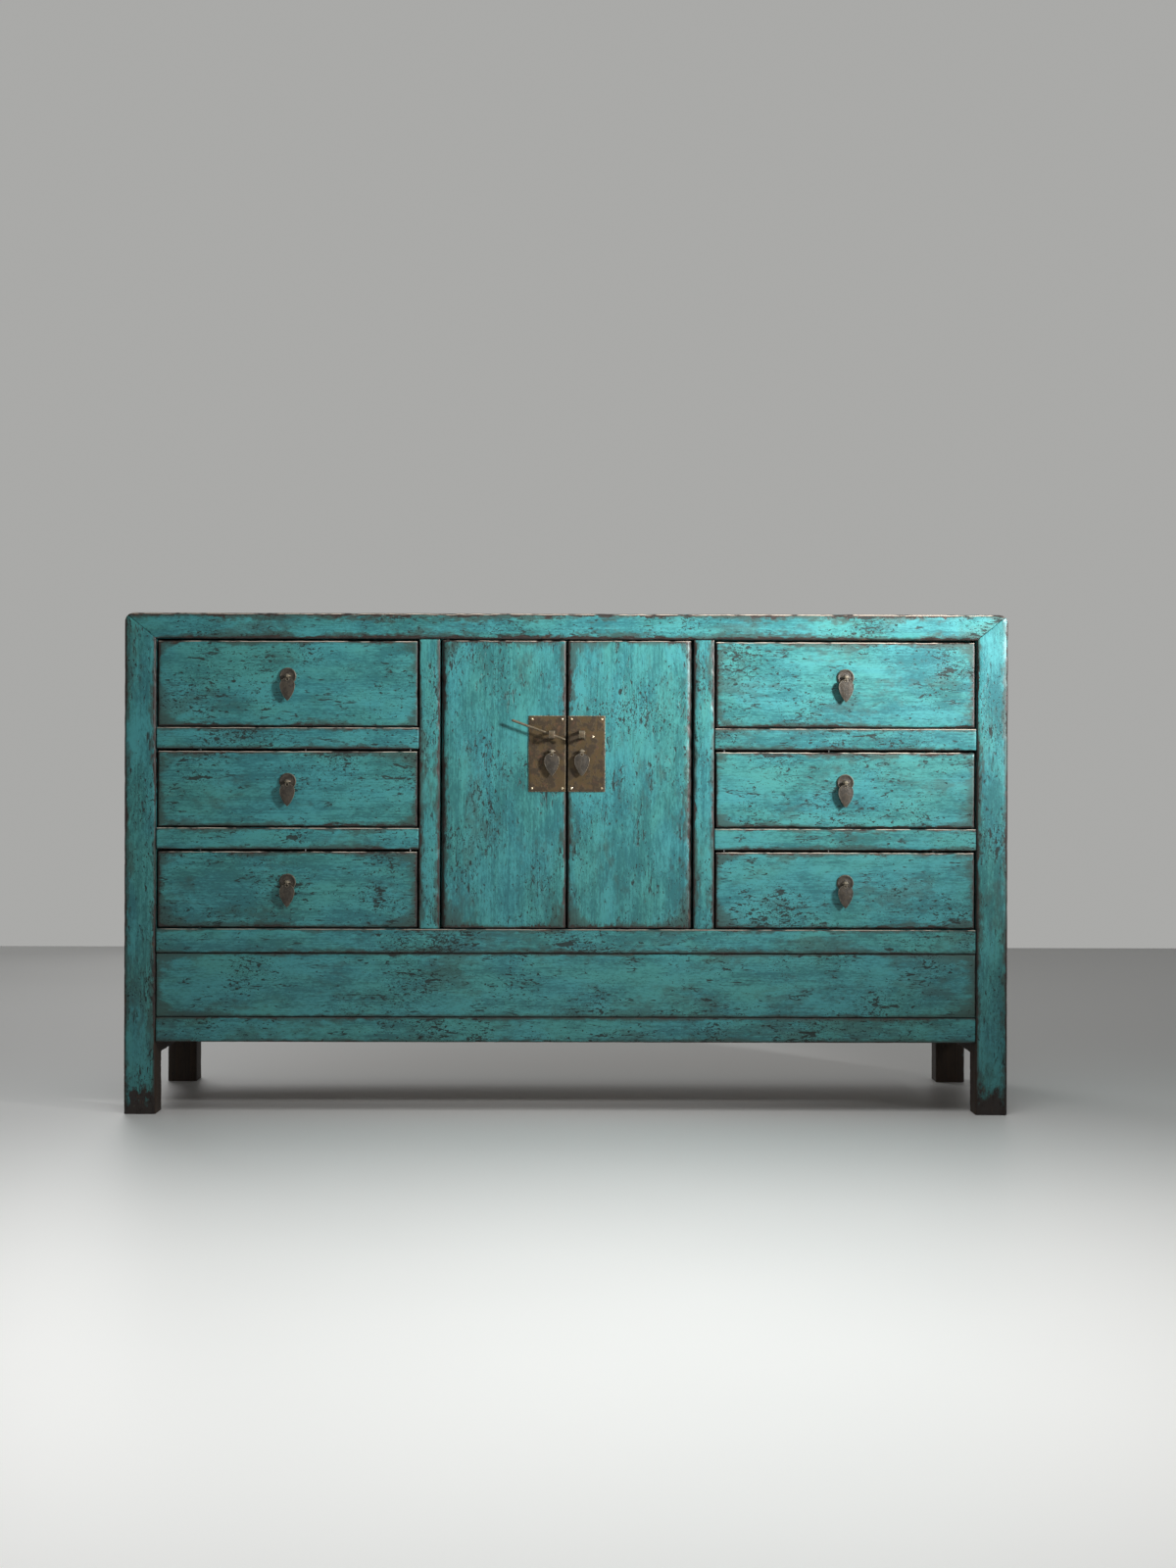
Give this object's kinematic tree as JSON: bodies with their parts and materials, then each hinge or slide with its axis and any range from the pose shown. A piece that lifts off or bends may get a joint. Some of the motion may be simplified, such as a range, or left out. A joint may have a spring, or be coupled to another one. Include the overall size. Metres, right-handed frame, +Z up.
{
  "type": "lacquered sideboard",
  "caption": "Low East Asian lacquered wood sideboard: drawers with leaf pulls either side of a two-door cupboard with a brass lock plate and pin, on short square legs.",
  "frame": {"origin": "on the floor, at the middle of the sideboard's box with its hardware", "axes": "+X to the right of someone facing the front, +Y towards the back, +Z up"},
  "size_m": [1.52, 0.4728, 0.862],
  "materials": {
    "lacquer": "worn turquoise lacquer over dark wood, satin",
    "bare_wood": "unpainted aged wood, dull",
    "brass": "brown patinated brass",
    "dark_metal": "dark patinated brass"
  },
  "bodies": {
    "carcass": {"post_front_left": "lacquer", "post_front_right": "lacquer", "post_back_left": "lacquer", "post_back_right": "lacquer", "top_rail_front": "lacquer", "top_rail_back": "lacquer", "top_rail_left": "lacquer", "top_rail_right": "lacquer", "top_panel": "lacquer", "stile_left": "lacquer", "stile_right": "lacquer", "drawer_rail_left_lower": "lacquer", "drawer_rail_left_upper": "lacquer", "drawer_rail_right_lower": "lacquer", "drawer_rail_right_upper": "lacquer", "waist_rail": "lacquer", "apron_panel": "lacquer", "bottom_rail_front": "lacquer", "side_panel_left": "lacquer", "side_panel_right": "lacquer", "low_rail_left": "lacquer", "low_rail_right": "lacquer", "low_rail_back": "lacquer", "back_panel": "bare_wood", "floor_board": "bare_wood", "partition_left": "bare_wood", "partition_right": "bare_wood", "runner_rack_left": "bare_wood", "runner_rack_right": "bare_wood"},
    "drawer_left_bottom": {"drawer_left_bottom_front": "lacquer", "drawer_left_bottom_box": "bare_wood", "drawer_left_bottom_rosette": "dark_metal"},
    "drawer_left_bottom_leaf": {"drawer_left_bottom_leaf": "dark_metal"},
    "drawer_left_middle": {"drawer_left_middle_front": "lacquer", "drawer_left_middle_box": "bare_wood", "drawer_left_middle_rosette": "dark_metal"},
    "drawer_left_middle_leaf": {"drawer_left_middle_leaf": "dark_metal"},
    "drawer_left_top": {"drawer_left_top_front": "lacquer", "drawer_left_top_box": "bare_wood", "drawer_left_top_rosette": "dark_metal"},
    "drawer_left_top_leaf": {"drawer_left_top_leaf": "dark_metal"},
    "drawer_right_bottom": {"drawer_right_bottom_front": "lacquer", "drawer_right_bottom_box": "bare_wood", "drawer_right_bottom_rosette": "dark_metal"},
    "drawer_right_bottom_leaf": {"drawer_right_bottom_leaf": "dark_metal"},
    "drawer_right_middle": {"drawer_right_middle_front": "lacquer", "drawer_right_middle_box": "bare_wood", "drawer_right_middle_rosette": "dark_metal"},
    "drawer_right_middle_leaf": {"drawer_right_middle_leaf": "dark_metal"},
    "drawer_right_top": {"drawer_right_top_front": "lacquer", "drawer_right_top_box": "bare_wood", "drawer_right_top_rosette": "dark_metal"},
    "drawer_right_top_leaf": {"drawer_right_top_leaf": "dark_metal"},
    "door_left": {"door_left": "lacquer", "lock_plate_left": "brass"},
    "lock_plate_left_leaf": {"lock_plate_left_leaf": "dark_metal"},
    "door_right": {"door_right": "lacquer", "lock_plate_right": "brass"},
    "lock_plate_right_leaf": {"lock_plate_right_leaf": "dark_metal"},
    "lock_pin": {"lock_pin": "brass"}
  },
  "joints": [
    {"name": "drawer_left_bottom_slide", "type": "slide", "parent": "carcass", "child": "drawer_left_bottom", "axis": [0, -1, 0], "range_m": [0, 0.3]},
    {"name": "drawer_left_bottom_leaf_swing", "type": "hinge", "parent": "drawer_left_bottom", "child": "drawer_left_bottom_leaf", "pos_m": [-0.4795, -0.2189, 0.399], "axis": [-1, 0, 0], "range_deg": [-4, 90]},
    {"name": "drawer_left_middle_slide", "type": "slide", "parent": "carcass", "child": "drawer_left_middle", "axis": [0, -1, 0], "range_m": [0, 0.3]},
    {"name": "drawer_left_middle_leaf_swing", "type": "hinge", "parent": "drawer_left_middle", "child": "drawer_left_middle_leaf", "pos_m": [-0.4795, -0.2189, 0.572], "axis": [-1, 0, 0], "range_deg": [-4, 90]},
    {"name": "drawer_left_top_slide", "type": "slide", "parent": "carcass", "child": "drawer_left_top", "axis": [0, -1, 0], "range_m": [0, 0.3]},
    {"name": "drawer_left_top_leaf_swing", "type": "hinge", "parent": "drawer_left_top", "child": "drawer_left_top_leaf", "pos_m": [-0.4795, -0.2189, 0.753], "axis": [-1, 0, 0], "range_deg": [-4, 90]},
    {"name": "drawer_right_bottom_slide", "type": "slide", "parent": "carcass", "child": "drawer_right_bottom", "axis": [0, -1, 0], "range_m": [0, 0.3]},
    {"name": "drawer_right_bottom_leaf_swing", "type": "hinge", "parent": "drawer_right_bottom", "child": "drawer_right_bottom_leaf", "pos_m": [0.4795, -0.2189, 0.399], "axis": [-1, 0, 0], "range_deg": [-4, 90]},
    {"name": "drawer_right_middle_slide", "type": "slide", "parent": "carcass", "child": "drawer_right_middle", "axis": [0, -1, 0], "range_m": [0, 0.3]},
    {"name": "drawer_right_middle_leaf_swing", "type": "hinge", "parent": "drawer_right_middle", "child": "drawer_right_middle_leaf", "pos_m": [0.4795, -0.2189, 0.572], "axis": [-1, 0, 0], "range_deg": [-4, 90]},
    {"name": "drawer_right_top_slide", "type": "slide", "parent": "carcass", "child": "drawer_right_top", "axis": [0, -1, 0], "range_m": [0, 0.3]},
    {"name": "drawer_right_top_leaf_swing", "type": "hinge", "parent": "drawer_right_top", "child": "drawer_right_top_leaf", "pos_m": [0.4795, -0.2189, 0.753], "axis": [-1, 0, 0], "range_deg": [-4, 90]},
    {"name": "door_left_swing", "type": "hinge", "parent": "carcass", "child": "door_left", "pos_m": [-0.206, -0.2026, 0.319], "axis": [0, 0, -1], "range_deg": [0, 90]},
    {"name": "lock_plate_left_leaf_swing", "type": "hinge", "parent": "door_left", "child": "lock_plate_left_leaf", "pos_m": [-0.02575, -0.2204, 0.625], "axis": [1, 0, 0], "range_deg": [-90, 4]},
    {"name": "door_right_swing", "type": "hinge", "parent": "carcass", "child": "door_right", "pos_m": [0.206, -0.2026, 0.319], "axis": [0, 0, 1], "range_deg": [0, 90]},
    {"name": "lock_plate_right_leaf_swing", "type": "hinge", "parent": "door_right", "child": "lock_plate_right_leaf", "pos_m": [0.02575, -0.2204, 0.625], "axis": [1, 0, 0], "range_deg": [-90, 4]},
    {"name": "lock_pin_slide", "type": "slide", "parent": "door_left", "child": "lock_pin", "axis": [-0.9397, 0, 0.342], "range_m": [-0.048, 0.026]}
  ]
}
